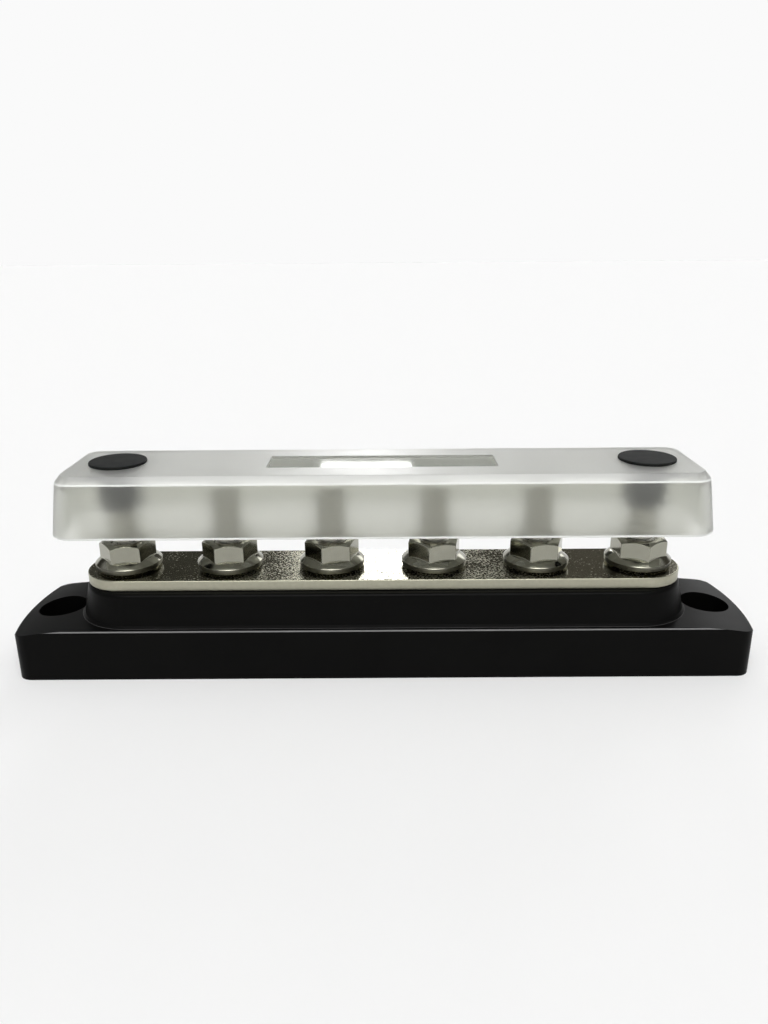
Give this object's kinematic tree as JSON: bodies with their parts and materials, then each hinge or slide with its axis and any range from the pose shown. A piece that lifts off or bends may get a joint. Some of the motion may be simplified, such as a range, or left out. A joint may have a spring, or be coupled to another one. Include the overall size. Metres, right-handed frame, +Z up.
{
  "type": "bus bar",
  "caption": "Covered power bus bar: plated flat bar with threaded studs and flange nuts on a black moulded base with screw ears, under a frosted push-on cover.",
  "frame": {"origin": "middle of the base's underside", "axes": "+X along the bar, +Y to the back, +Z up along the studs"},
  "size_m": [0.1988, 0.034, 0.056],
  "materials": {
    "base_plastic": "moulded, fine satin texture",
    "bar_plate": "nickel plated brass, bright",
    "stud_steel": "rolled thread, stainless",
    "nut_steel": "cold formed, bright",
    "cover_plastic": "frosted translucent moulding, polished label window",
    "plug_rubber": "moulded, satin"
  },
  "bodies": {
    "base": {"base": "base_plastic", "bus_bar": "bar_plate", "stud_1": "stud_steel", "stud_2": "stud_steel", "stud_3": "stud_steel", "stud_4": "stud_steel", "stud_5": "stud_steel", "stud_6": "stud_steel"},
    "nut_1": {"nut_1": "nut_steel"},
    "nut_2": {"nut_2": "nut_steel"},
    "nut_3": {"nut_3": "nut_steel"},
    "nut_4": {"nut_4": "nut_steel"},
    "nut_5": {"nut_5": "nut_steel"},
    "nut_6": {"nut_6": "nut_steel"},
    "cover": {"cover": "cover_plastic", "plug_left": "plug_rubber", "plug_right": "plug_rubber"}
  },
  "joints": [
    {"name": "nut_1_turn", "type": "hinge", "parent": "base", "child": "nut_1", "pos_m": [-0.07, 0, 0.0258], "axis": [0, 0, 1], "continuous": true},
    {"name": "nut_2_turn", "type": "hinge", "parent": "base", "child": "nut_2", "pos_m": [-0.042, 0, 0.0258], "axis": [0, 0, 1], "continuous": true},
    {"name": "nut_3_turn", "type": "hinge", "parent": "base", "child": "nut_3", "pos_m": [-0.014, 0, 0.0258], "axis": [0, 0, 1], "continuous": true},
    {"name": "nut_4_turn", "type": "hinge", "parent": "base", "child": "nut_4", "pos_m": [0.014, 0, 0.0258], "axis": [0, 0, 1], "continuous": true},
    {"name": "nut_5_turn", "type": "hinge", "parent": "base", "child": "nut_5", "pos_m": [0.042, 0, 0.0258], "axis": [0, 0, 1], "continuous": true},
    {"name": "nut_6_turn", "type": "hinge", "parent": "base", "child": "nut_6", "pos_m": [0.07, 0, 0.0258], "axis": [0, 0, 1], "continuous": true},
    {"name": "cover_lift", "type": "slide", "parent": "base", "child": "cover", "axis": [0, 0, 1], "range_m": [0, 0.03]}
  ]
}
